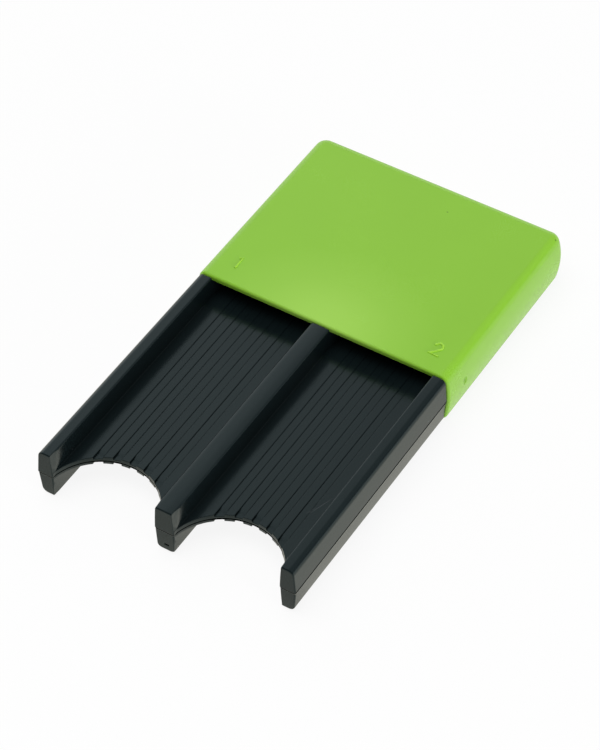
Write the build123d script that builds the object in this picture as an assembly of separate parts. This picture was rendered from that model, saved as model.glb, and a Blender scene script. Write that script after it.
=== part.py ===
import os

from build123d import *

# Reed channels: two side by side on the upper face of the tray and two on its lower face
channel_width = 16.3
channel_depth = 3.43
floor_thickness = 1.28

# Walls of the tray at its parting plane, halfway up
outer_wall = 2.5
divider_width = 3.1
outer_draft = 0.35
inner_draft = 0.08
tray_edge_radius = 0.9
channel_edge_radius = 0.25
divider_edge_radius = 0.3
divider_lower_radius = 0.75
end_edge_radius = 0.2
lower_lean = 0.2
parting_step = 0.05

# Ribs that hold a reed clear of the floor
groove_count = 5
groove_pitch = 2.36
groove_width = 1.18
groove_depth = 0.34
groove_taper = 0.05

# Rounded notch in the open end of each channel, for a fingertip
notch_radius = 8.335
notch_setback = 1.125
lead_in_angle = 4.0

# The part of the tray outside the sleeve, and the shoulder behind it
exposed_length = 39.91
shoulder_gap = 0.2
shoulder_step = 0.75
neck_edge_radius = 0.8
neck_end_chamfer = 0.18

# Sleeve
sleeve_length = 34.1
sleeve_wall = 0.94
sleeve_clearance = 0.06
sleeve_end_wall = 0.9
sleeve_bow = 0.545
sleeve_edge_radius = 1.43
sleeve_corner_radius = 1.855
cavity_edge_radius = 0.75
cavity_end_radius = 0.7
mouth_outer_radius = 0.42
mouth_inner_radius = 0.14
end_play = 0.15

# Shallow oval dent in each side of the sleeve, over its catch
dent_from_mouth = 4.55
dent_above_middle = 0.15
dent_length = 1.0
dent_height = 1.5
dent_depth = 0.22

# Sizes that follow from these
cut_overrun = 1.0
tray_height = 2 * channel_depth + floor_thickness
tray_width = 2 * (channel_width + outer_wall) + divider_width
channel_offset = (channel_width + divider_width) / 2
cavity_width = tray_width - 2 * shoulder_step + 2 * sleeve_clearance
cavity_height = tray_height - 2 * shoulder_step + 2 * sleeve_clearance
cavity_length = sleeve_length - sleeve_end_wall
sleeve_width = cavity_width + 2 * sleeve_wall
sleeve_height = cavity_height + 2 * sleeve_wall
tray_length = exposed_length + cavity_length - cavity_end_radius - end_play
overall_length = exposed_length + sleeve_length


def outline(points, radii):
    """Closed outline in the upright plane across the guard, with a radius for each corner."""
    face = make_face(Polyline(*points, close=True))
    for point, radius in zip(points, radii):
        if radius:
            corner = face.vertices().sort_by_distance(Vector(*point))[0]
            face = fillet(corner, radius)
    return Plane.XZ * face


def run_back(face, start, end):
    """Carry an outline back along the guard, from one distance behind the front to another."""
    return Pos(0, start, 0) * extrude(face, amount=start - end)


def outer_wall_half(inset, step, edge_radius):
    """Upper half of the right-hand wall's outline, drafted from the parting plane."""
    top = tray_height / 2 - step
    inner = tray_width / 2 - outer_wall + inset
    outer = tray_width / 2 - step - inset
    points = [(inner, 0), (inner + inner_draft, top), (outer - outer_draft, top), (outer, 0)]
    return outline(points, [0, channel_edge_radius, edge_radius, 0])


def divider_half(inset, step, edge_radius):
    """Upper half of the outline of the wall between the channels."""
    top = tray_height / 2 - step
    side = divider_width / 2 - inset
    points = [(side, 0), (side - inner_draft, top), (inner_draft - side, top), (-side, 0)]
    return outline(points, [0, edge_radius, edge_radius, 0])


def lean_back(solid, start, lean):
    """Lean a wall's front face back towards its upper edge, for release from the mould."""
    top = tray_height / 2
    sliver = make_face(
        Polyline((start - cut_overrun, -cut_overrun), (start, -cut_overrun), (start, 0),
                 (start + lean, top), (start + lean, top + cut_overrun),
                 (start - cut_overrun, top + cut_overrun), close=True)
    )
    return solid - extrude(Plane.YZ * sliver, amount=tray_width, both=True)


def upper_rim(face):
    """Edges round an upright face, all but the one on the parting plane."""
    return face.edges().filter_by(lambda edge: edge.center().Z > end_edge_radius / 2)


def wall_half(section, neck_section, start, lean):
    """Half a wall, from its softened front to the shoulder and on, stepped down, into the sleeve."""
    wall = run_back(section, start, exposed_length - shoulder_gap)
    if lean:
        wall = lean_back(wall, start, lean)
    wall = fillet(upper_rim(wall.faces().sort_by(Axis.Y)[0]), end_edge_radius)
    neck = run_back(neck_section, exposed_length / 2, tray_length)
    return wall + chamfer(upper_rim(neck.faces().sort_by(Axis.Y)[-1]), neck_end_chamfer)


def make_wall(half_section, upper_radius, lower_radius, neck_radius, cuts):
    """A whole wall: the lower half is a hair smaller, which leaves the parting line in sight."""
    upper = wall_half(half_section(0, 0, upper_radius), half_section(0, shoulder_step, neck_radius),
                      0, 0)
    lower = wall_half(half_section(parting_step, 0, lower_radius),
                      half_section(parting_step, shoulder_step, neck_radius),
                      parting_step, lower_lean)
    for cut in cuts:
        upper -= cut
        lower -= cut
    return upper + mirror(lower, Plane.XY)


def channel_floor_section():
    """Outline of one channel's floor, with its grooves on both faces and its edges in the walls."""
    half = floor_thickness / 2
    seat = divider_width / 4
    floor = Rectangle(channel_width + 2 * seat, floor_thickness)
    foot = groove_width / 2 - groove_taper
    groove = make_face(
        Polyline((-foot, half - groove_depth), (foot, half - groove_depth),
                 (groove_width / 2, half), (groove_width / 2, half + cut_overrun),
                 (-groove_width / 2, half + cut_overrun), (-groove_width / 2, half), close=True)
    )
    for place in range(groove_count):
        shift = (place - (groove_count - 1) / 2) * groove_pitch
        floor -= Pos(shift, 0) * groove
        floor -= Pos(shift, 0) * mirror(groove, Plane.XZ)
    return Plane.XZ * floor


def channel_floor(side):
    """Ribbed floor of a pair of channels, notched at the front."""
    front = 2 * end_edge_radius
    floor = Pos(side * channel_offset, 0, 0) * run_back(channel_floor_section(), front, tray_length)
    notch = Cylinder(notch_radius, floor_thickness + 2 * cut_overrun)
    return floor - Pos(side * channel_offset, -notch_setback, 0) * notch


def lead_in(side):
    """Flared opening that guides a reed between the walls above the floor."""
    rise = Vector(0, 0, 1).rotate(Axis.Y, lead_in_angle)
    slope = rise.X / rise.Z
    low = floor_thickness / 2
    high = tray_height / 2 + cut_overrun
    mouth = channel_width / 2
    cone = Cone(mouth + slope * low, mouth + slope * high, high - low,
                align=(Align.CENTER, Align.CENTER, Align.MIN))
    return Pos(side * channel_offset, 0, low) * cone


def make_tray():
    """Tray that holds four reeds, open at both ends."""
    right = make_wall(outer_wall_half, tray_edge_radius, tray_edge_radius, neck_edge_radius,
                      [lead_in(1)])
    divider = make_wall(divider_half, divider_edge_radius, divider_lower_radius,
                        divider_edge_radius, [lead_in(-1), lead_in(1)])
    tray = mirror(right, Plane.YZ) + divider + right
    for side in (-1, 1):
        tray += channel_floor(side)
    return tray


def bowed_side(side, half, bow):
    """Upright line of a side that swells from its edges to the middle of its height."""
    return ThreePointArc((side - bow, -half), (side, 0), (side - bow, half))


def across_section(width, height, bow):
    """Outline across the sleeve or its cavity, with bowed sides and sharp corners."""
    half = height / 2
    right = bowed_side(width / 2, half, bow)
    left = mirror(right, Plane.YZ)
    top = Line(right @ 1, left @ 1)
    bottom = Line(left @ 0, right @ 0)
    return make_face([right, top, left, bottom])


def sleeve_block():
    """Outer form of the sleeve: sides and closed end bow alike, and every edge but the mouth's is round."""
    half = sleeve_height / 2
    block = run_back(Plane.XZ * across_section(sleeve_width, sleeve_height, sleeve_bow),
                     exposed_length, overall_length + cut_overrun)
    end = bowed_side(overall_length, half, sleeve_bow)
    front = Line((0, half), (0, -half))
    lengthwise = make_face([end, Line(end @ 1, front @ 0), front, Line(front @ 1, end @ 0)])
    block &= extrude(Plane.YZ * lengthwise, amount=sleeve_width, both=True)
    upright = block.edges().filter_by(
        lambda edge: edge.center().Y > overall_length - cut_overrun and abs(edge.center().Z) < half / 2)
    block = fillet(upright, sleeve_corner_radius)
    rims = block.faces().filter_by(Axis.Z).edges().filter_by(
        lambda edge: edge.center().Y > exposed_length + cut_overrun)
    return fillet(rims, sleeve_edge_radius)


def make_dent():
    """Oval dish sunk in the right-hand side of the sleeve."""
    spread = 3 ** 0.5
    dish = scale(Sphere(2 * dent_depth), by=(1, dent_length / dent_depth / 2 / spread,
                                             dent_height / dent_depth / 2 / spread))
    return Pos(sleeve_width / 2 + dent_depth, exposed_length + dent_from_mouth, dent_above_middle) * dish


def make_sleeve():
    """Closed sleeve that slides over the reed tips, with a rolled mouth."""
    section = across_section(cavity_width, cavity_height, outer_draft)
    section = Plane.XZ * fillet(section.vertices(), cavity_edge_radius)
    cavity = run_back(section, exposed_length - cut_overrun, exposed_length + cavity_length)
    cavity = fillet(cavity.faces().sort_by(Axis.Y)[-1].edges(), cavity_end_radius)
    sleeve = sleeve_block() - cavity
    rim = sleeve.faces().sort_by(Axis.Y)[0]
    sleeve = fillet(rim.outer_wire().edges(), mouth_outer_radius)
    rim = sleeve.faces().sort_by(Axis.Y)[0]
    sleeve = fillet(rim.inner_wires()[0].edges(), mouth_inner_radius)
    dent = make_dent()
    return sleeve - dent - mirror(dent, Plane.YZ)


parts = {
    "tray": make_tray(),
    "sleeve": make_sleeve(),
}

# The origin is under the middle of the closed guard, where the sleeve rests on its flat face
rest_place = Pos(0, -overall_length / 2, sleeve_height / 2)

os.makedirs("parts", exist_ok=True)
for name, shape in parts.items():
    export_step(rest_place * shape, f"parts/{name}.step")
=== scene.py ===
from math import cos, hypot, pi, radians, sin, sqrt

import bmesh
import bpy
from bpy.props import FloatProperty, FloatVectorProperty, PointerProperty
from bpy.types import Operator, Panel, PropertyGroup
from mathutils import Matrix, Vector


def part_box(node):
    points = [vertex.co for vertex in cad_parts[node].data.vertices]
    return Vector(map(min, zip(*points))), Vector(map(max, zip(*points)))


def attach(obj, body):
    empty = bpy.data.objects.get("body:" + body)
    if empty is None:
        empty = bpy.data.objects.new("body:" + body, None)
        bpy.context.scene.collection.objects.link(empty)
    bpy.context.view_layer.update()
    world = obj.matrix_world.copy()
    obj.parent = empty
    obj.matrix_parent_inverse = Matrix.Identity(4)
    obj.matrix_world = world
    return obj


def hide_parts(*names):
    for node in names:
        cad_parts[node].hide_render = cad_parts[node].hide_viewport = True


bl_info = {
    "name": "Reed guard",
    "version": (1, 0, 0),
    "blender": (4, 5, 0),
    "location": "3D View > Sidebar > Reed guard",
    "description": "Finishes, moulded details and stage of a two-piece reed guard",
    "category": "Object",
}

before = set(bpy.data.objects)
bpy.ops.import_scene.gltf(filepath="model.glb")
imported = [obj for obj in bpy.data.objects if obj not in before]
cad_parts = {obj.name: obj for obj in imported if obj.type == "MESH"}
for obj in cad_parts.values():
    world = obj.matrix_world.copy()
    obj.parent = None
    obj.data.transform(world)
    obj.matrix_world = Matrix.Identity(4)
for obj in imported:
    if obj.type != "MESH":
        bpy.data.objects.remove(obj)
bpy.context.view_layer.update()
MM = 0.001
LEAF_GREEN = "leaf green plastic"

# Points that are no further apart than this are one point
MERGE = 0.001 * MM

# A face looks along an axis if at least this share of its normal does
FACING = 0.9

# Largest angle between faces that are shaded as one, and smallest angle at a notch's sharp rim
TRAY_CREASE = radians(25)
NUMERAL_CREASE = radians(60)
RIM_ANGLE = 1.0

# Refractive index of each plastic, and how much its clouds, grain and streaks change its roughness
TRAY_IOR = 1.48
TRAY_UNEVENNESS = (0.10, 0.06, 0.12)
SLEEVE_IOR = 1.52
SLEEVE_UNEVENNESS = (0.08, 0.04)

# Length of a streak in times its width
STREAK_STRETCH = 30

# How far the colour of each kind of mark covers the plastic's own: the scuffs and the pip's
# painted highlight, the specks, and the painted shade in the sleeve's dents
SCUFF_AND_GLINT_COVER = 0.7
SPECK_COVER = 0.8
DENT_COVER = 0.85

# Clouds and roughness of the black at the parting line, a painted shade
SHADE_MOTTLING = 0.4
SHADE_CLOUD = 1.5 * MM
SHADE_ROUGHNESS = 0.9

# Depth of a groove above its ramp in times its shallow depth, where the side of an outer wall
# starts in shares of its half thickness, and the bottom of the gate scar as a share of its mouth
RAMP_DEPTH = 1.6
SIDE_SHARE = 0.75
GATE_TAPER = 0.6


# Shader maths

class Wire:
    """An output socket that takes part in ordinary Python sums."""

    def __init__(self, tree, socket):
        self.tree = tree
        self.socket = socket

    def sum(self, operation, first, second=None):
        node = self.tree.add("ShaderNodeMath", {"operation": operation}, [first, second])
        return node.out("Value")

    def __add__(self, other):
        return self.sum("ADD", self, other)

    def __radd__(self, other):
        return self.sum("ADD", other, self)

    def __sub__(self, other):
        return self.sum("SUBTRACT", self, other)

    def __rsub__(self, other):
        return self.sum("SUBTRACT", other, self)

    def __mul__(self, other):
        return self.sum("MULTIPLY", self, other)

    def __rmul__(self, other):
        return self.sum("MULTIPLY", other, self)

    def size(self):
        """The value without its sign."""
        return self.sum("ABSOLUTE", self)

    def __gt__(self, other):
        return self.sum("GREATER_THAN", self, other)

    def __lt__(self, other):
        return self.sum("LESS_THAN", self, other)


class Node:
    """A node of a finish, whose outputs come back as wires."""

    def __init__(self, tree, node):
        self.tree = tree
        self.node = node

    def out(self, name=0):
        return Wire(self.tree, self.node.outputs[name])


class Finish:
    """The node tree of one finish or of the world."""

    def __init__(self, nodes_of):
        nodes_of.use_nodes = True
        self.nodes = nodes_of.node_tree.nodes
        self.links = nodes_of.node_tree.links
        self.nodes.clear()

    def add(self, kind, settings=None, values=()):
        """Add any node: its settings come first, then the values or wires of its sockets."""
        node = self.nodes.new(kind)
        for name, value in (settings or {}).items():
            if name == "stops":
                ramp = node.color_ramp
                while len(ramp.elements) < len(value):
                    ramp.elements.new(0.5)
                for element, (place, shade) in zip(ramp.elements, value):
                    element.position = place
                    element.color = (shade, shade, shade, 1)
            else:
                setattr(node, name, value)
        named = values.items() if isinstance(values, dict) else enumerate(values)
        for socket, value in named:
            if isinstance(value, Wire):
                self.links.new(value.socket, node.inputs[socket])
            elif value is not None:
                node.inputs[socket].default_value = value
        return Node(self, node)

    def place(self):
        return self.add("ShaderNodeTexCoord").out("Object")

    def noise(self, size, detail=2.0, roughness=0.5, drawn_out=1.0):
        """Cloudy pattern of the given size, drawn out so many times along the guard."""
        place = self.add("ShaderNodeMapping", None, {
            "Vector": self.place(), "Scale": (1, 1 / drawn_out, 1)}).out("Vector")
        values = {"Vector": place, "Scale": 1 / size, "Detail": detail, "Roughness": roughness}
        return self.add("ShaderNodeTexNoise", None, values).out()

    def ramp(self, place, stops):
        """Turn a value into shades of grey that change at the given stops."""
        return self.add("ShaderNodeValToRGB", {"stops": stops}, [place]).out("Color")

    def vector(self, operation, values):
        return self.add("ShaderNodeVectorMath", {"operation": operation}, values)

    def distance(self, centre, reach, turn=0.0):
        """How far a point is from a centre, in shares of the reach along each axis."""
        scale = [1 / length for length in reach]
        centred = self.vector("SUBTRACT", [self.place(), centre]).out("Vector")
        turned = self.add("ShaderNodeMapping", None, {
            "Vector": centred, "Rotation": (0, 0, -turn)}).out("Vector")
        shares = self.vector("MULTIPLY", [turned, scale]).out("Vector")
        return self.vector("LENGTH", [shares]).out("Value")

    def spot(self, centre, reach, turn=0.0):
        """Soft-edged spot: 1 at its centre and 0 outside its reach."""
        return self.ramp(self.distance(centre, reach, turn), SPOT_FADE)

    def mix(self, share, first, second):
        """Blend two colours: they go in at sockets 6 and 7 of the node and come out at 2."""
        values = {0: share, 6: first, 7: second}
        return self.add("ShaderNodeMix", {"data_type": "RGBA"}, values).out(2)

    def mottle(self, pattern, colour, swing):
        """Darken and lighten a colour by the given share, with a pattern."""
        return self.mix(pattern, rgba(colour, 1 - swing), rgba(colour, 1 + swing))

    def round_edges(self, radius):
        """Shade sharp edges as if they were rounded."""
        return self.add("ShaderNodeBevel", {"samples": 6}, {"Radius": radius}).out("Normal")

    def bump(self, height, depth, normal=None):
        values = {"Height": height, "Distance": depth, "Normal": normal}
        return self.add("ShaderNodeBump", None, values).out("Normal")

    def plastic(self, values):
        shader = self.add("ShaderNodeBsdfPrincipled", None, values)
        self.add("ShaderNodeOutputMaterial", None, {"Surface": shader.out("BSDF")})


def rgba(colour, gain=1.0):
    return (colour[0] * gain, colour[1] * gain, colour[2] * gain, 1.0)


def swing_about(middle, patterns, swings):
    """A value that goes up and down about its middle with each of the patterns."""
    for pattern, swing in zip(patterns, swings):
        middle = middle + swing * (pattern - 0.5)
    return middle


def finish_node(node_name, material):
    """Give a solid of the frame its finish in place of the plain one."""
    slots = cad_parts[node_name].material_slots
    if not slots:
        raise RuntimeError("the " + node_name + " has no material slot to finish")
    for slot in slots:
        slot.material = material


# Tables

# Shallow depth of each groove of a channel, from left to right, and the widths of its left and
# right slopes there
GROOVES = (
    (0.05 * MM, 0.05 * MM, 0.07 * MM),
    (0.05 * MM, 0.05 * MM, 0.08 * MM),
    (0.04 * MM, 0.04 * MM, 0.06 * MM),
    (0.055 * MM, 0.06 * MM, 0.06 * MM),
    (0.07 * MM, 0.07 * MM, 0.07 * MM),
)

# Middle, half lengths and turn of each pale mark on the tray: two scuffs in the right channel, a
# speck in the left one, and a painted highlight where a tiny pip stands on the left wall's inner
# face
SCUFFS_AND_GLINT = (
    ((15.60 * MM, -23.0 * MM, 4.96 * MM), (0.06 * MM, 2.3 * MM, 0.3 * MM), radians(-18)),
    ((14.90 * MM, -24.3 * MM, 4.96 * MM), (0.05 * MM, 0.9 * MM, 0.3 * MM), radians(-24)),
    ((-4.46 * MM, -29.36 * MM, 4.96 * MM), (0.12 * MM, 0.14 * MM, 0.3 * MM), 0.0),
    ((-17.90 * MM, -32.24 * MM, 5.56 * MM), (0.20 * MM, 0.16 * MM, 0.16 * MM), 0.0),
)

# Middle and half lengths of the tiny dark specks moulded into the sleeve
SPECKS = (
    ((3.89 * MM, 31.68 * MM, 8.64 * MM), (0.17 * MM, 0.12 * MM, 0.5 * MM)),
    ((19.75 * MM, 35.0 * MM, 8.25 * MM), (0.18 * MM, 0.18 * MM, 0.3 * MM)),
)

# How a round spot fades out, from its middle at 0 to its reach at 1, and how the painted highlight
# round the sleeve's mouth does
SPOT_FADE = ((0.45, 1.0), (1.0, 0.0))
MOUTH_HIGHLIGHT_FADE = ((0.0, 1.0), (0.25, 0.85), (0.6, 0.35), (1.0, 0.0))

# The stroke of each digit in shares of its height, and whether the line bends at that point
STROKES = {
    "1": ((-0.19, 0.84, False), (0.0, 0.93, False), (0.0, 0.0, False)),
    "2": ((-0.29, 0.72, True), (-0.03, 0.97, True), (0.25, 0.70, True), (0.10, 0.43, True),
          (-0.32, 0.0, False), (0.33, 0.0, False)),
    "3": ((-0.25, 0.86, True), (0.0, 0.97, True), (0.23, 0.76, True), (-0.02, 0.54, False),
          (0.27, 0.27, True), (0.0, 0.0, True), (-0.29, 0.13, True)),
    "4": ((0.12, 0.0, False), (0.12, 0.96, False), (-0.28, 0.28, False), (0.28, 0.28, False)),
}

# Digit, whether it is above the sleeve or below it, and its middle across the guard
NUMERALS = (
    ("1", 1, -16.1 * MM), ("2", 1, 16.2 * MM), ("3", -1, 16.2 * MM), ("4", -1, -16.1 * MM),
)

# From left to right, where the divider's top changes its slope, and how far it has dropped there
CROWN = (
    (-1.30 * MM, 0.085 * MM), (-1.0 * MM, 0.045 * MM), (-0.7 * MM, 0.015 * MM),
    (-0.3 * MM, 0.003 * MM), (0.15 * MM, 0.0), (0.6 * MM, 0.010 * MM),
    (1.0 * MM, 0.030 * MM), (1.15 * MM, 0.040 * MM),
)

# Shades of the sky: HORIZON and CEILING change with the height, from 0 at eye level to 1 straight
# up, OVERHEAD and BESIDE across the guard, from 0 at the far left to 1 at the far right, and
# BEHIND along it, from 0 in front to 1 at the back
HORIZON = ((0.12, 1.0), (0.24, 0.0))
CEILING = ((0.40, 0.0), (0.62, 1.0))
OVERHEAD = (
    (0.28, 0.74), (0.30, 0.81), (0.312, 0.82), (0.327, 0.73), (0.337, 0.56), (0.36, 0.35),
    (0.50, 0.30),
)
BESIDE = ((0.34, 1.20), (0.60, 0.15))
BEHIND = ((0.42, 0.10), (0.68, 1.0))


# Modelling helpers

def alike(first, second):
    """Whether two lengths are the same, but for rounding."""
    return abs(first - second) < MERGE


def deselect(mesh):
    for part in (*mesh.verts, *mesh.edges, *mesh.faces):
        part.select = False


def pick(piece, chosen):
    """Select, in edit mode, the faces whose middle passes a test, and say how many there are."""
    mesh = bmesh.from_edit_mesh(piece.data)
    deselect(mesh)
    faces = [face for face in mesh.faces if chosen(face.calc_center_median())]
    for face in faces:
        face.select_set(True)
    bmesh.update_edit_mesh(piece.data)
    return len(faces)


def pick_points(piece, chosen):
    """Select, in edit mode, the points that pass a test, and say how many there are."""
    mesh = bmesh.from_edit_mesh(piece.data)
    mesh.select_mode = {"VERT"}
    deselect(mesh)
    points = [point for point in mesh.verts if chosen(point)]
    for point in points:
        point.select = True
    mesh.select_flush_mode()
    bmesh.update_edit_mesh(piece.data)
    return len(points)


def copy_node(node_name, piece_name):
    """Start a piece from a solid of the frame, with its loose triangles merged."""
    bpy.ops.object.select_all(action="DESELECT")
    piece = bpy.data.objects.new(piece_name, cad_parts[node_name].data.copy())
    bpy.context.collection.objects.link(piece)
    piece.select_set(True)
    bpy.context.view_layer.objects.active = piece
    bpy.ops.mesh.customdata_custom_splitnormals_clear()
    bpy.ops.object.mode_set(mode="EDIT")
    bpy.ops.mesh.select_all(action="SELECT")
    bpy.ops.mesh.remove_doubles(threshold=MERGE)
    bpy.ops.object.mode_set(mode="OBJECT")
    return piece


def even_shading(piece):
    """Let the large faces keep their own shade, and the small ones between them blend."""
    bpy.ops.object.modifier_add(type="WEIGHTED_NORMAL")
    shading = piece.modifiers[-1]
    shading.keep_sharp = True
    bpy.ops.object.modifier_apply(modifier=shading.name)


def hand_in(piece, body, material):
    """Let a finished piece ride on its body, in its own finish."""
    piece.data.materials.clear()
    piece.data.materials.append(material)
    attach(piece, body)


# Sizes and colours

class TraySettings(PropertyGroup):
    channel_offset: FloatProperty(
        name="Channel offset", description="Middle of the guard to the middle of a channel",
        unit="LENGTH", min=0, default=9.7 * MM)
    floor_thickness: FloatProperty(
        name="Floor thickness", description="Thickness of a channel's floor between its faces",
        unit="LENGTH", min=0, default=1.28 * MM)
    groove_pitch: FloatProperty(
        name="Groove pitch", description="Distance from groove to groove in a channel's floor",
        unit="LENGTH", min=0, default=2.36 * MM)
    groove_width: FloatProperty(
        name="Groove width", description="Width of a groove at the floor's face",
        unit="LENGTH", min=0, default=1.18 * MM)
    groove_draft: FloatProperty(
        name="Groove draft", description="Width of a sloped side at a groove's deep end",
        unit="LENGTH", min=0, default=0.05 * MM)
    groove_end_depth: FloatProperty(
        name="Groove end depth", description="Depth of a groove at the notch", unit="LENGTH",
        min=0, default=0.34 * MM)
    deep_end: FloatProperty(
        name="Deep end", description="Length of a groove's deep end, behind the notch",
        unit="LENGTH", min=0, default=0.9 * MM)
    ramp: FloatProperty(
        name="Ramp", description="Length over which a groove rises out of its deep end",
        unit="LENGTH", min=0, default=0.7 * MM)
    taper: FloatProperty(
        name="Taper", description="Length over which a groove fades to its shallow part",
        unit="LENGTH", min=0, default=7.0 * MM)
    notch_radius: FloatProperty(
        name="Notch radius", description="Radius of the notch in a channel's floor",
        unit="LENGTH", min=0, default=8.335 * MM)
    notch_setback: FloatProperty(
        name="Notch setback", description="Centre of the notch to the front of the tray",
        unit="LENGTH", default=1.125 * MM)
    colour: FloatVectorProperty(
        name="Colour", description="Charcoal of the tray's plastic", subtype="COLOR",
        size=3, min=0, max=1, default=(0.005, 0.009, 0.010))
    mottling: FloatProperty(
        name="Mottling", description="Share by which the colour darkens and lightens in clouds",
        min=0, max=1, default=0.12)
    cloud_size: FloatProperty(
        name="Cloud size", description="Size of those clouds", unit="LENGTH",
        min=0.1 * MM, default=9 * MM)
    roughness: FloatProperty(
        name="Roughness", description="Satin of the moulded surface", min=0, max=1, default=0.2)
    grain: FloatProperty(
        name="Grain depth", description="Depth of the fine moulded grain", unit="LENGTH",
        min=0, default=0.004 * MM)
    grain_size: FloatProperty(
        name="Grain size", description="Size of the fine moulded grain", unit="LENGTH",
        min=0.01 * MM, default=0.12 * MM)
    streaks: FloatProperty(
        name="Streak depth", description="Depth of the fine lengthwise streaks", unit="LENGTH",
        min=0, default=0.001 * MM)
    streak_size: FloatProperty(
        name="Streak size", description="Width of the fine lengthwise streaks", unit="LENGTH",
        min=0.01 * MM, default=0.25 * MM)
    # Colour of the scuffs and the speck, and of the painted highlight on the pip
    scuff_and_glint: FloatVectorProperty(
        name="Scratch", description="Colour of the faint scuffs", subtype="COLOR",
        size=3, min=0, max=1, default=(0.05, 0.055, 0.058))
    outer_wall: FloatProperty(
        name="Outer wall", description="Thickness of an outer wall", unit="LENGTH",
        min=0, default=2.5 * MM)
    outer_wall_offset: FloatProperty(
        name="Outer wall offset", description="Middle of the guard to the middle of an outer wall",
        unit="LENGTH", min=0, default=19.1 * MM)
    divider: FloatProperty(
        name="Divider", description="Thickness of the wall between the channels", unit="LENGTH",
        min=0, default=3.1 * MM)
    crown_depth: FloatProperty(
        name="Crown depth", description="Depth of the divider's top that its crown reshapes",
        unit="LENGTH", min=0, default=0.25 * MM)
    seam_width: FloatProperty(
        name="Seam width", description="Height of the groove at the parting line", unit="LENGTH",
        min=0, default=0.22 * MM)
    # Painted shade: the dark line reaches this far over the flat outer sides, above and below the
    # parting plane
    side_seam: FloatProperty(
        name="Side seam", description="Reach of the outer sides' dark line from the parting plane",
        unit="LENGTH", min=0, default=0.20 * MM)
    # Painted highlight: the lip is a paler grey band under the dark line, in place of the light
    # that the ledge under the parting line catches, weaker on the walls' fronts
    lip: FloatProperty(
        name="Lip", description="Height of the rubbed lip under that dark line", unit="LENGTH",
        min=0, default=0.13 * MM)
    front_highlight_share: FloatProperty(
        name="Lip in front", description="Rubbing of the walls' fronts as a share of their sides'",
        min=0, max=1, default=0.4)
    highlit: FloatVectorProperty(
        name="Rubbed lip", description="Paler grey of the rubbed lip", subtype="COLOR",
        size=3, min=0, max=1, default=(0.16, 0.16, 0.14))
    seam_depth: FloatProperty(
        name="Seam depth", description="Depth of the groove at the parting line", unit="LENGTH",
        min=0, default=0.05 * MM)
    # Painted shade: black with no gloss, in place of the shadow inside the groove at the parting
    # line
    shade: FloatVectorProperty(
        name="Shade", description="Black inside the groove at the parting line", subtype="COLOR",
        size=3, min=0, max=1, default=(0.003, 0.004, 0.004))
    seam_front: FloatProperty(
        name="Seam front", description="Reach of the rounded front corners at the parting line",
        unit="LENGTH", min=0, default=0.3 * MM)
    notch_rim: FloatProperty(
        name="Notch rim", description="Rounding of the notches' rims", unit="LENGTH",
        min=0, default=0.16 * MM)
    rim_slack: FloatProperty(
        name="Rim slack", description="How far a point of the rim may be from its circle",
        unit="LENGTH", min=0, default=0.03 * MM)
    gate_place: FloatVectorProperty(
        name="Gate place", description="Middle of the gate scar, across and above the table",
        unit="LENGTH", size=2, default=(0.18 * MM, 1.47 * MM))
    gate_size: FloatVectorProperty(
        name="Gate size", description="Width and height of the gate scar", unit="LENGTH",
        size=2, default=(0.80 * MM, 0.34 * MM))
    gate_depth: FloatProperty(
        name="Gate depth", description="Depth of the gate scar", unit="LENGTH",
        min=0, default=0.30 * MM)
    gate_reach: FloatProperty(
        name="Gate reach", description="How far the divider's front leans back at most",
        unit="LENGTH", min=0, default=0.30 * MM)
    sheen: FloatVectorProperty(
        name="Sheen", description="Tint of the surface's gloss", subtype="COLOR",
        size=3, min=0, max=1, default=(0.75, 0.97, 1.0))
    edge: FloatProperty(
        name="Edge", description="Radius at which the sharp edges catch the light", unit="LENGTH",
        min=0, default=0.14 * MM)


class NumeralSettings(PropertyGroup):
    height: FloatProperty(
        name="Height", description="Height of a numeral", unit="LENGTH", min=0, default=2.4 * MM)
    setback: FloatProperty(
        name="Setback", description="Foot of a numeral to the sleeve's mouth", unit="LENGTH",
        min=0, default=3.0 * MM)
    relief: FloatProperty(
        name="Relief", description="How far a numeral stands out of the sleeve", unit="LENGTH",
        min=0, default=0.15 * MM)
    stroke: FloatProperty(
        name="Stroke", description="Width of its strokes", unit="LENGTH", min=0,
        default=0.36 * MM)
    under_share: FloatProperty(
        name="Underside share", description="Relief below the sleeve as a share of that above it",
        min=0, max=1, default=0.3)


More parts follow.
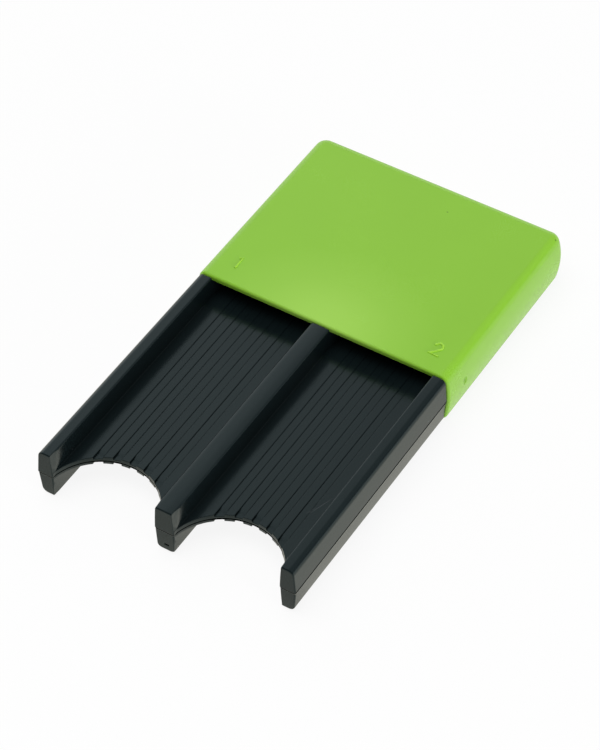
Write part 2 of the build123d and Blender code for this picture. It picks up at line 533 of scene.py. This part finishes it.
class SleeveSettings(PropertyGroup):
    # Painted highlight: a paler green round the middle of the sleeve's mouth
    mouth_highlight: FloatVectorProperty(
        name="Pale zone", description="Paler green round the mouth's middle", subtype="COLOR",
        size=3, min=0, max=1, default=(0.331, 0.626, 0.075))
    mouth_highlight_reach: FloatVectorProperty(
        name="Pale reach", description="How far the paler zone goes from the mouth's middle",
        subtype="TRANSLATION", unit="LENGTH", size=3, default=(17 * MM, 15 * MM, 9 * MM))
    # Painted highlight: a lighter green on the crowns of the numerals, above and below the sleeve
    crown_highlight: FloatVectorProperty(
        name="Worn crowns", description="Lighter green on the crowns of the numerals",
        subtype="COLOR", size=3, min=0, max=1, default=(0.34, 0.66, 0.045))
    proud: FloatProperty(
        name="Proud", description="Height above the sleeve's top at which the crowns begin",
        unit="LENGTH", min=0, default=0.03 * MM)
    proud_below: FloatProperty(
        name="Proud below", description="Depth below the sleeve at which the crowns begin there",
        unit="LENGTH", min=0, default=0.01 * MM)
    # Painted shade: a deeper green in the dents over the catch
    dent_shade: FloatVectorProperty(
        name="Dent shade", description="Deeper green in the dents over the catch", subtype="COLOR",
        size=3, min=0, max=1, default=(0.15, 0.34, 0.02))
    dent_place: FloatVectorProperty(
        name="Dent place", description="Middle of a dent, behind the mouth and above mid-height",
        unit="LENGTH", size=2, default=(4.55 * MM, 0.15 * MM))
    dent_reach: FloatVectorProperty(
        name="Dent reach", description="Half sizes of the deeper green zone", unit="LENGTH",
        size=3, default=(0.8 * MM, 0.42 * MM, 0.62 * MM))
    speck: FloatVectorProperty(
        name="Speck", description="Colour of the tiny dark specks", subtype="COLOR",
        size=3, min=0, max=1, default=(0.06, 0.12, 0.02))
    edge: FloatProperty(
        name="Edge", description="Radius at which the sharp edges catch the light", unit="LENGTH",
        min=0, default=0.08 * MM)
    colour: FloatVectorProperty(
        name="Colour", description="Leaf green of the sleeve's plastic", subtype="COLOR",
        size=3, min=0, max=1, default=(0.247, 0.534, 0.035))
    mottling: FloatProperty(
        name="Mottling", description="Share by which the colour darkens and lightens in clouds",
        min=0, max=1, default=0.03)
    cloud_size: FloatProperty(
        name="Cloud size", description="Size of those clouds", unit="LENGTH",
        min=0.1 * MM, default=11 * MM)
    roughness: FloatProperty(
        name="Roughness", description="Gloss of the moulded surface", min=0, max=1, default=0.26)
    grain: FloatProperty(
        name="Grain depth", description="Depth of the faint moulded ripple", unit="LENGTH",
        min=0, default=0.002 * MM)
    grain_size: FloatProperty(
        name="Grain size", description="Size of the faint moulded ripple", unit="LENGTH",
        min=0.01 * MM, default=0.18 * MM)


class StageSettings(PropertyGroup):
    azimuth: FloatProperty(
        name="Azimuth", description="Turn of the camera round the guard", subtype="ANGLE",
        default=radians(31.405))
    elevation: FloatProperty(
        name="Elevation", description="Height of the camera above the horizon", subtype="ANGLE",
        default=radians(46.784))
    roll: FloatProperty(
        name="Roll", description="Tilt of the camera", subtype="ANGLE", default=radians(0.131))
    distance: FloatProperty(
        name="Distance", description="Camera to the point it looks at", unit="LENGTH",
        min=0.01, default=382.5 * MM)
    target: FloatVectorProperty(
        name="Target", description="Point the camera looks at", subtype="TRANSLATION",
        unit="LENGTH", size=3, default=(5.45 * MM, -11.62 * MM, 14.427 * MM))
    lens: FloatProperty(
        name="Lens", description="Focal length in millimetres", min=1, default=137.222)
    floor: FloatVectorProperty(
        name="Floor", description="Colour of the table", subtype="COLOR",
        size=3, min=0, max=1, default=(0.9, 0.9, 0.9))
    floor_size: FloatProperty(
        name="Floor size", description="Side of the square table", unit="LENGTH",
        min=0, default=6.0)
    floor_drop: FloatProperty(
        name="Floor drop", description="Depth of the table under the guard", unit="LENGTH",
        min=0, default=0.05 * MM)
    floor_glow: FloatProperty(
        name="Floor glow", description="Share of plain white in what the camera sees of the table",
        min=0, max=1, default=0.9)
    gloss_tint: FloatVectorProperty(
        name="Gloss tint", description="Colour of the table in the gloss of the plastics",
        subtype="COLOR", size=3, min=0, max=1, default=(1, 0.98, 0.87))
    # Painted shadow: in the gloss of the plastics the table is darker in front of the guard than
    # behind it
    gloss_levels: FloatVectorProperty(
        name="Gloss levels", description="Brightness of the table there, in front and behind",
        size=2, min=0, max=1, default=(0.6, 0.87))
    gloss_edge: FloatProperty(
        name="Gloss edge", description="Place along the guard where it starts to brighten",
        unit="LENGTH", default=-38 * MM)
    gloss_rise: FloatProperty(
        name="Gloss rise", description="Length over which it brightens", unit="LENGTH",
        min=0.1 * MM, default=6 * MM)
    key_light: FloatProperty(
        name="Key light", description="Power of the large soft light overhead", unit="POWER",
        min=0, default=7.9)
    key_place: FloatVectorProperty(
        name="Key place", description="Where that light hangs", subtype="TRANSLATION",
        unit="LENGTH", size=3, default=(-0.15, -0.15, 0.93))
    key_size: FloatProperty(
        name="Key size", description="Side of that square light", unit="LENGTH",
        min=0, default=0.85)
    fill_light: FloatProperty(
        name="Fill light", description="Power of the low soft light on the right", unit="POWER",
        min=0, default=5.0)
    fill_place: FloatVectorProperty(
        name="Fill place", description="Where that light hangs", subtype="TRANSLATION",
        unit="LENGTH", size=3, default=(0.9, -0.15, 0.14))
    fill_size: FloatProperty(
        name="Fill size", description="Side of that square light", unit="LENGTH",
        min=0, default=0.3)


# Pieces

class REEDGUARD_OT_tray(Operator):
    """Make the tray's moulding, whose grooves are deep only at the notch, in charcoal plastic"""
    bl_idname = "reedguard.tray"
    bl_label = "Tray"

    def execute(self, context):
        look = context.scene.reedguard_tray
        tray = copy_node("tray", "tray_moulding")
        low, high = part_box("tray")
        middle = (low.z + high.z) / 2
        middle_row = (len(GROOVES) - 1) / 2
        bpy.ops.object.mode_set(mode="EDIT")
        for row, shape in enumerate(GROOVES):
            for side in (-1, 1):
                self.fade_groove(tray, look, side * look.channel_offset,
                                 (row - middle_row) * look.groove_pitch, shape, low.y, middle)
        self.soften_notches(tray, look, low.y, middle)
        self.crown_divider(tray, look, high.z)
        self.sink_seam(tray, look, low.y, middle)
        self.edge_shade(tray, look, low.y, middle)
        self.sink_gate(tray, look, low.y)
        bpy.ops.object.mode_set(mode="OBJECT")
        bpy.ops.object.shade_smooth_by_angle(angle=TRAY_CREASE)
        even_shading(tray)
        hand_in(tray, "tray", self.finish(look))
        self.darken_seam(tray, look, middle)
        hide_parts("tray")
        return {"FINISHED"}

    def fade_groove(self, tray, look, channel, offset, shape, front, middle):
        """Make one groove shallow behind its deep end, on both faces of the floor."""
        depth, left_slope, right_slope = shape
        centre = channel + offset
        reach = sqrt(look.notch_radius ** 2 - offset ** 2) - look.notch_setback
        near = front + reach + look.deep_end
        far = near + look.ramp + look.taper
        half_floor = look.floor_thickness / 2
        half_groove = look.groove_width / 2
        low_foot = half_floor - look.groove_end_depth
        half_foot = half_groove - look.groove_draft

        def inside(place):
            level = abs(place.z - middle)
            return (abs(place.x - centre) < half_groove
                    and low_foot - MERGE < level < half_floor - MERGE)

        for cut in (near, near + look.ramp, far):
            if not pick(tray, inside):
                raise RuntimeError("a groove of the tray was not found")
            bpy.ops.mesh.bisect(plane_co=(0, cut, 0), plane_no=(0, 1, 0))

        width_share = (2 * half_groove - left_slope - right_slope) / (2 * half_foot)
        height = low_foot
        shift = (left_slope - right_slope) / 2
        for start, foot_depth in ((near + look.ramp, RAMP_DEPTH * depth), (far, depth)):
            if not pick_points(tray, lambda point: abs(point.co.x - centre) < half_groove
                               and alike(abs(point.co.z - middle), height)
                               and point.co.y > start - MERGE):
                raise RuntimeError("the foot of a groove was not found")
            rise = (half_floor - foot_depth) / height
            bpy.ops.transform.resize(value=(width_share, 1, rise),
                                     center_override=(centre, 0, middle))
            bpy.ops.transform.translate(value=(shift, 0, 0))
            width_share, shift, height = 1, 0, half_floor - foot_depth

    def off_notch(self, look, front, place):
        """How far a place is, seen from above, from the circle of the nearer notch."""
        side = look.channel_offset if place.x > 0 else -look.channel_offset
        reach = hypot(place.x - side, place.y - front + look.notch_setback)
        return abs(reach - look.notch_radius)

    def soften_notches(self, tray, look, front, middle):
        """Round the rim of each notch, on both faces of the floor."""
        mesh = bmesh.from_edit_mesh(tray.data)

        def on_rim(place):
            return (self.off_notch(look, front, place) < look.rim_slack
                    and alike(abs(place.z - middle), look.floor_thickness / 2))

        bpy.ops.mesh.select_all(action="DESELECT")
        rim = [edge for edge in mesh.edges if all(on_rim(end.co) for end in edge.verts)
               and len(edge.link_faces) == 2 and edge.calc_face_angle() > RIM_ANGLE]
        if not rim:
            raise RuntimeError("the rims of the notches were not found")
        for edge in rim:
            edge.select_set(True)
        bmesh.update_edit_mesh(tray.data)
        bpy.ops.mesh.bevel(offset=look.notch_rim, segments=3, clamp_overlap=True)

    def crown_divider(self, tray, look, top):
        """Round the divider's top: lower points, the nearer they are to its sides."""
        foot = top - look.crown_depth
        half_divider = look.divider / 2
        places = [across for across, _ in CROWN]
        for across in places[1:-1]:
            pick(tray, lambda place: abs(place.x) < half_divider and place.z > foot)
            bpy.ops.mesh.bisect(plane_co=(across, 0, 0), plane_no=(1, 0, 0))
        between = [(left + right) / 2 for left, right in zip(places, places[1:])]
        starts, ends = [-half_divider, *between], [*between, half_divider]
        for start, end, (_, drop) in zip(starts, ends, CROWN):
            if pick_points(tray, lambda point: start < point.co.x < end and point.co.z > foot):
                bpy.ops.transform.translate(value=(0, 0, -drop))

    def sink_seam(self, tray, look, front, middle):
        """Sink a fine groove under the parting plane, round the walls' lower halves."""
        bpy.ops.mesh.select_all(action="SELECT")
        bpy.ops.mesh.bisect(plane_co=(0, 0, middle - look.seam_width), plane_no=(0, 0, 1))

        def on_ring(point):
            near = [edge.other_vert(point).co.z for edge in point.link_edges]
            return (alike(point.co.z, middle) and min(near) < middle - MERGE
                    and max(near) < middle + MERGE)

        for centre in (-look.outer_wall_offset, 0, look.outer_wall_offset):
            half = look.outer_wall / 2 if centre else look.divider / 2
            share = 1 - look.seam_depth / half
            reach = half + look.seam_width
            if not pick_points(tray, lambda point: abs(point.co.x - centre) < reach
                               and on_ring(point)):
                raise RuntimeError("the parting line of a wall was not found")
            bpy.ops.transform.resize(value=(share, 1, 1), center_override=(centre, 0, middle))
            if pick_points(tray, lambda point: abs(point.co.x - centre) < reach
                           and on_ring(point) and point.co.y < front + look.seam_front):
                bpy.ops.transform.translate(value=(0, look.seam_depth, 0))

    def edge_shade(self, tray, look, front, middle):
        """Cut the edges of the dark line of painted shade into the outer sides and the walls of
        the notches.
        """
        side = look.outer_wall_offset + SIDE_SHARE * look.outer_wall / 2
        for level, half in ((middle - look.side_seam, -1), (middle + look.side_seam, 1)):
            if not pick(tray, lambda place: half * (place.z - middle) > 0 and abs(place.x) > side):
                raise RuntimeError("the outer sides were not found")
            bpy.ops.mesh.bisect(plane_co=(0, 0, level), plane_no=(0, 0, 1))

        def on_notch(place):
            """The middle of a facet lies further inside the notch's circle than its corners."""
            return (self.off_notch(look, front, place) < 2 * look.rim_slack
                    and abs(place.z - middle) < look.floor_thickness / 2 - look.notch_rim)

        if not pick(tray, on_notch):
            raise RuntimeError("the walls of the notches were not found")
        bpy.ops.mesh.bisect(plane_co=(0, 0, middle), plane_no=(0, 0, 1))

    def darken_seam(self, tray, look, middle):
        """Give the groove at the parting line, and a line on the outer sides, a black finish with
        no gloss: painted shade in place of their shadow.
        """
        material = bpy.data.materials.new("parting line shade")
        finish = Finish(material)
        shade = finish.mottle(finish.noise(SHADE_CLOUD), look.shade, SHADE_MOTTLING)
        finish.plastic({
            "Base Color": shade, "Roughness": SHADE_ROUGHNESS, "Specular IOR Level": 0.0,
        })
        shade_slot = len(tray.data.materials)
        tray.data.materials.append(material)
        for face in tray.data.polygons:
            below = middle - face.center.z
            sunk = -MERGE < below < look.seam_width and abs(face.normal.z) < FACING
            beside = (abs(below) < look.side_seam and abs(face.normal.x) > FACING
                      and abs(face.center.x) > look.outer_wall_offset)
            if sunk or beside:
                face.material_index = shade_slot

    def sink_gate(self, tray, look, front):
        """Sink the small scar left by the moulding gate, low on the divider's front."""
        across, up = look.gate_place
        half_width, half_height = look.gate_size[0] / 2, look.gate_size[1] / 2
        deepest = front + look.gate_reach

        def around(place):
            return (abs(place.x) < look.divider / 2 and place.y < deepest
                    and place.z < up + look.divider)

        def inside(place):
            return (abs(place.x - across) < half_width and abs(place.z - up) < half_height
                    and place.y < deepest)

        for end in (-1, 1):
            pick(tray, around)
            bpy.ops.mesh.bisect(plane_co=(across + end * half_width, 0, 0), plane_no=(1, 0, 0))
        for end in (-1, 1):
            pick(tray, around)
            bpy.ops.mesh.bisect(plane_co=(0, 0, up + end * half_height), plane_no=(0, 0, 1))
        if not pick(tray, inside):
            raise RuntimeError("the place of the gate scar was not found")
        bpy.ops.mesh.extrude_region_move(TRANSFORM_OT_translate={"value": (0, look.gate_depth, 0)})
        bpy.ops.transform.resize(value=(GATE_TAPER, 1, GATE_TAPER),
                                 center_override=(across, front, up))

    def finish(self, look):
        material = bpy.data.materials.new("charcoal satin plastic")
        finish = Finish(material)
        clouds = finish.noise(look.cloud_size)
        grain = finish.noise(look.grain_size, detail=3)
        streaks = finish.noise(look.streak_size, detail=3, roughness=0.6,
                               drawn_out=STREAK_STRETCH)
        colour = finish.mottle(clouds, look.colour, look.mottling)
        for centre, reach, turn in SCUFFS_AND_GLINT:
            mark = SCUFF_AND_GLINT_COVER * finish.spot(centre, reach, turn)
            colour = finish.mix(mark, colour, rgba(look.scuff_and_glint))
        low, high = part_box("tray")
        upper = (low.z + high.z) / 2 - look.side_seam
        parts = finish.add("ShaderNodeSeparateXYZ", None, [finish.place()])
        across, along, height = parts.out("X"), parts.out("Y"), parts.out("Z")
        # Painted highlight: a paler grey band under the dark line, on the outer sides and more
        # faintly on the walls' fronts
        outside = across.size() > high.x - 2 * look.lip
        in_front = along < low.y + look.seam_front
        band = (height < upper) * (height > upper - look.lip)
        lip = band * (outside + look.front_highlight_share * in_front)
        colour = finish.mix((0.5 + 0.5 * clouds) * lip, colour, rgba(look.highlit))
        relief = finish.bump(streaks, look.streaks, finish.round_edges(look.edge))
        finish.plastic({
            "Base Color": colour,
            "Roughness": swing_about(look.roughness, (clouds, grain, streaks), TRAY_UNEVENNESS),
            "IOR": TRAY_IOR,
            "Specular Tint": rgba(look.sheen),
            "Normal": finish.bump(grain, look.grain, relief),
        })
        return material


class REEDGUARD_OT_sleeve(Operator):
    """Finish the sleeve in leaf green plastic, with a painted highlight of paler green round the
    middle of its mouth
    """
    bl_idname = "reedguard.sleeve"
    bl_label = "Sleeve"

    def execute(self, context):
        look = context.scene.reedguard_sleeve
        material = bpy.data.materials.new(LEAF_GREEN)
        finish = Finish(material)
        low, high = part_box("sleeve")
        clouds = finish.noise(look.cloud_size)
        grain = finish.noise(look.grain_size, detail=3)
        colour = finish.mottle(clouds, look.colour, look.mottling)
        # Painted highlight: paler green round the middle of the mouth
        mouth_highlight = finish.ramp(finish.distance((0, low.y, high.z), look.mouth_highlight_reach), MOUTH_HIGHLIGHT_FADE)
        colour = finish.mix(mouth_highlight, colour, rgba(look.mouth_highlight))
        # Painted highlight: the numerals' crowns, above and below the sleeve, are a lighter green
        height = finish.add("ShaderNodeSeparateXYZ", None, [finish.place()]).out("Z")
        proud = (height > high.z + look.proud) + (height < low.z - look.proud_below)
        colour = finish.mix(proud, colour, rgba(look.crown_highlight))
        for centre, reach in SPECKS:
            mark = SPECK_COVER * finish.spot(centre, reach)
            colour = finish.mix(mark, colour, rgba(look.speck))
        # Painted shade: a deeper green in each dent over the catch
        for side in (low.x, high.x):
            dent = (side, low.y + look.dent_place[0], (low.z + high.z) / 2 + look.dent_place[1])
            shaded = DENT_COVER * finish.spot(dent, look.dent_reach)
            colour = finish.mix(shaded, colour, rgba(look.dent_shade))
        finish.plastic({
            "Base Color": colour,
            "Roughness": swing_about(look.roughness, (clouds, grain), SLEEVE_UNEVENNESS),
            "IOR": SLEEVE_IOR,
            "Normal": finish.bump(grain, look.grain, finish.round_edges(look.edge)),
        })
        finish_node("sleeve", material)
        return {"FINISHED"}


class REEDGUARD_OT_numerals(Operator):
    """Raise a small numeral for each channel on the sleeve, two above and two below"""
    bl_idname = "reedguard.numerals"
    bl_label = "Numerals"

    def execute(self, context):
        look = context.scene.reedguard_numerals
        low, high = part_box("sleeve")
        for digit, side, across in NUMERALS:
            bpy.ops.object.select_all(action="DESELECT")
            bpy.ops.curve.primitive_bezier_curve_add()
            numeral = bpy.context.object
            numeral.name = "numeral_" + digit
            line = numeral.data
            line.bevel_depth = look.stroke / 2
            line.bevel_resolution = 4
            line.resolution_u = 8
            line.use_fill_caps = True
            points = line.splines[0].bezier_points
            points.add(len(STROKES[digit]) - len(points))
            for point, (x, y, bend) in zip(points, STROKES[digit]):
                point.handle_left_type = point.handle_right_type = "AUTO" if bend else "VECTOR"
                point.co = (x * look.height, y * look.height, 0)
            bpy.ops.object.convert(target="MESH")
            flat = 2 * look.relief / look.stroke
            if side > 0:
                numeral.location = (across, low.y + look.setback, high.z)
                numeral.scale = (1, 1, flat)
            else:
                numeral.location = (across, low.y + look.setback, low.z)
                numeral.rotation_euler = (0, pi, 0)
                numeral.scale = (1, 1, flat * look.under_share)
            bpy.ops.object.transform_apply(location=True, rotation=True, scale=True)
            bpy.ops.object.mode_set(mode="EDIT")
            bpy.ops.mesh.select_all(action="SELECT")
            bpy.ops.mesh.remove_doubles(threshold=MERGE)
            bpy.ops.mesh.normals_make_consistent(inside=False)
            bpy.ops.object.mode_set(mode="OBJECT")
            bpy.ops.object.shade_smooth_by_angle(angle=NUMERAL_CREASE)
            hand_in(numeral, "sleeve", bpy.data.materials[LEAF_GREEN])
        return {"FINISHED"}


class REEDGUARD_OT_stage(Operator):
    """Set the table, the soft lights and the camera"""
    bl_idname = "reedguard.stage"
    bl_label = "Stage"

    def execute(self, context):
        stage = context.scene.reedguard_stage
        self.lay_floor(stage)
        self.light_world()
        self.hang_light("key light", stage.key_place, stage.key_size, stage.key_light)
        self.hang_light("fill light", stage.fill_place, stage.fill_size, stage.fill_light)
        self.set_camera(context, stage)
        return {"FINISHED"}

    def lay_floor(self, stage):
        """Lay a white table, which the gloss of the plastics sees a little warmer, and darker in
        front of the guard: a painted shadow there.
        """
        bpy.ops.mesh.primitive_plane_add(size=stage.floor_size, location=(0, 0, -stage.floor_drop))
        floor = bpy.context.object
        floor.name = "table"
        material = bpy.data.materials.new("white table")
        finish = Finish(material)
        seen = finish.add("ShaderNodeLightPath")
        mirrored = seen.out("Is Glossy Ray") + seen.out("Is Transmission Ray")
        # Painted shadow: what the gloss sees of the table is darker in front of the guard and
        # brightens behind the gloss edge
        along = finish.add("ShaderNodeSeparateXYZ", None, [finish.place()]).out("Y")
        risen = (along - stage.gloss_edge) * (1 / stage.gloss_rise)
        beyond = finish.ramp(risen, ((0.0, 0.0), (1.0, 1.0)))
        mask = stage.floor_glow * seen.out("Is Camera Ray") + mirrored
        matt = finish.add("ShaderNodeBsdfDiffuse", None, {"Color": rgba(stage.floor)})
        near, far = (rgba(stage.gloss_tint, level) for level in stage.gloss_levels)
        shade = finish.mix(mirrored, (1, 1, 1, 1), finish.mix(beyond, near, far))
        glow = finish.add("ShaderNodeEmission", None, {"Color": shade, "Strength": 1.0})
        both = finish.add("ShaderNodeMixShader", None,
                          [mask, matt.out("BSDF"), glow.out("Emission")])
        finish.add("ShaderNodeOutputMaterial", None, {"Surface": both.out("Shader")})
        floor.data.materials.append(material)

    def light_world(self):
        """Shade the sky like the soft boxes of a small photo studio."""
        world = bpy.data.worlds.new("soft studio")
        bpy.context.scene.world = world
        finish = Finish(world)
        way = finish.add("ShaderNodeTexCoord").out("Generated")
        parts = finish.add("ShaderNodeSeparateXYZ", None, [way])
        across, along, height = parts.out("X"), parts.out("Y"), parts.out("Z")
        horizon = finish.ramp(height, HORIZON)
        ceiling = finish.ramp(height, CEILING)
        rightward = 0.5 + 0.5 * across
        overhead = finish.ramp(rightward, OVERHEAD)
        beside = finish.ramp(rightward, BESIDE)
        behind = finish.ramp(0.5 + 0.5 * along, BEHIND)
        low_sky = horizon + (1 - horizon) * beside
        strength = behind * (ceiling * overhead + (1 - ceiling) * low_sky)
        sky = finish.add("ShaderNodeBackground", None,
                         {"Color": (1, 1, 1, 1), "Strength": strength})
        finish.add("ShaderNodeOutputWorld", None, {"Surface": sky.out("Background")})

    def hang_light(self, name, place, size, power):
        """Hang a square lamp that points at the guard and doesn't show in its gloss."""
        turn = (-Vector(place)).to_track_quat("-Z", "Y").to_euler()
        bpy.ops.object.light_add(type="AREA", location=place, rotation=turn)
        light = bpy.context.object
        light.name = name
        light.data.shape = "SQUARE"
        light.data.size = size
        light.data.energy = power
        light.visible_glossy = False

    def set_camera(self, context, stage):
        """Look at the guard from where the photograph was taken."""
        turn, rise, tilt = stage.azimuth, stage.elevation, stage.roll
        back = Vector((sin(turn) * cos(rise), -cos(turn) * cos(rise), sin(rise)))
        level = Vector((cos(turn), sin(turn), 0))
        upward = back.cross(level)
        right = level * cos(tilt) + upward * sin(tilt)
        up = upward * cos(tilt) - level * sin(tilt)
        bpy.ops.object.camera_add(location=Vector(stage.target) + back * stage.distance,
                                  rotation=Matrix((right, up, back)).transposed().to_euler())
        camera = bpy.context.object
        camera.name = "photo camera"
        camera.data.lens = stage.lens
        context.scene.camera = camera
        context.scene.view_settings.view_transform = "Standard"


class REEDGUARD_PT_sidebar(Panel):
    """Sizes, colours and buttons of the reed guard"""
    bl_idname = "REEDGUARD_PT_sidebar"
    bl_label = "Reed guard"
    bl_space_type = "VIEW_3D"
    bl_region_type = "UI"
    bl_category = "Reed guard"

    def draw(self, context):
        for settings, operator in zip(GROUPS, OPERATORS):
            box = self.layout.box()
            group = getattr(context.scene, settings)
            for name in group.bl_rna.properties.keys():
                if name not in {"rna_type", "name"}:
                    box.prop(group, name)
            box.operator(operator.bl_idname)


# The operators stand in the order of the groups that they read
GROUPS = {
    "reedguard_tray": TraySettings,
    "reedguard_sleeve": SleeveSettings,
    "reedguard_numerals": NumeralSettings,
    "reedguard_stage": StageSettings,
}
OPERATORS = (REEDGUARD_OT_tray, REEDGUARD_OT_sleeve, REEDGUARD_OT_numerals, REEDGUARD_OT_stage)


def register():
    for kind in (*GROUPS.values(), *OPERATORS, REEDGUARD_PT_sidebar):
        bpy.utils.register_class(kind)
    for name, kind in GROUPS.items():
        setattr(bpy.types.Scene, name, PointerProperty(type=kind))


def unregister():
    for name in GROUPS:
        delattr(bpy.types.Scene, name)
    for kind in (REEDGUARD_PT_sidebar, *reversed(OPERATORS), *GROUPS.values()):
        bpy.utils.unregister_class(kind)


def main():
    register()
    bpy.ops.reedguard.tray()
    bpy.ops.reedguard.sleeve()
    bpy.ops.reedguard.numerals()
    bpy.ops.reedguard.stage()


if __name__ == "__main__":
    main()
